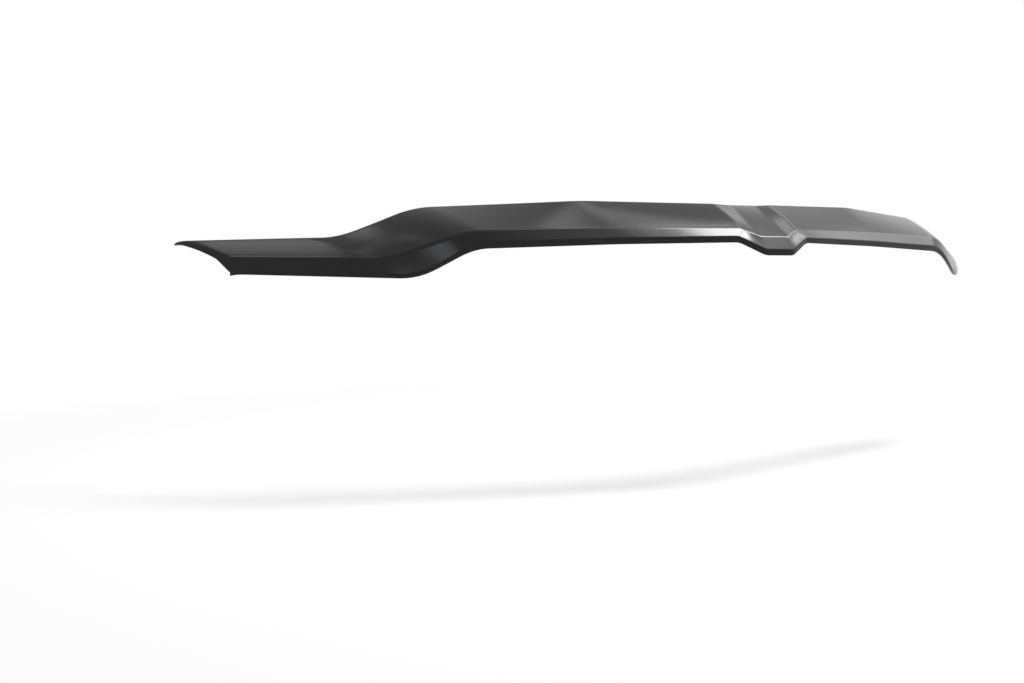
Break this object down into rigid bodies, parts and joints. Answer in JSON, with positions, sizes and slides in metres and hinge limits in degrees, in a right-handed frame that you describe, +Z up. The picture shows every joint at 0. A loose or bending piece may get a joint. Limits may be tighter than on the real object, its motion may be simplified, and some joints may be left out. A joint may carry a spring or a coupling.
{
  "type": "hood bug deflector",
  "caption": "Formed dark acrylic shield that wraps a pickup hood's front edge, with a stepped-down wing each side, foam tape and rubber buttons behind.",
  "frame": {"origin": "middle of the centre notch's lower edge, on the outer face of the shield", "axes": "+X across the vehicle, the part is a mirror image about X = 0; +Y towards the vehicle's rear; +Z up"},
  "size_m": [1.6076, 0.4359, 0.1158],
  "materials": {
    "smoke_acrylic": "smooth satin gloss, dark smoke",
    "foam_tape": "fine closed-cell foam, matte",
    "button_rubber": "moulded rubber, matte"
  },
  "bodies": {
    "root": {"shield": "smoke_acrylic", "channel_rear_tape": "foam_tape", "channel_front_tape": "foam_tape", "left_inner_rear_tape": "foam_tape", "right_inner_rear_tape": "foam_tape", "left_outer_rear_tape": "foam_tape", "right_outer_rear_tape": "foam_tape", "left_wing_rear_tape": "foam_tape", "right_wing_rear_tape": "foam_tape", "left_inner_front_tape": "foam_tape", "right_inner_front_tape": "foam_tape", "left_outer_front_tape": "foam_tape", "right_outer_front_tape": "foam_tape", "left_wing_front_tape": "foam_tape", "right_wing_front_tape": "foam_tape", "left_inner_button": "button_rubber", "right_inner_button": "button_rubber", "left_ridge_button": "button_rubber", "right_ridge_button": "button_rubber", "left_outer_button": "button_rubber", "right_outer_button": "button_rubber", "left_step_button": "button_rubber", "right_step_button": "button_rubber", "left_wing_button": "button_rubber", "right_wing_button": "button_rubber"}
  },
  "joints": []
}
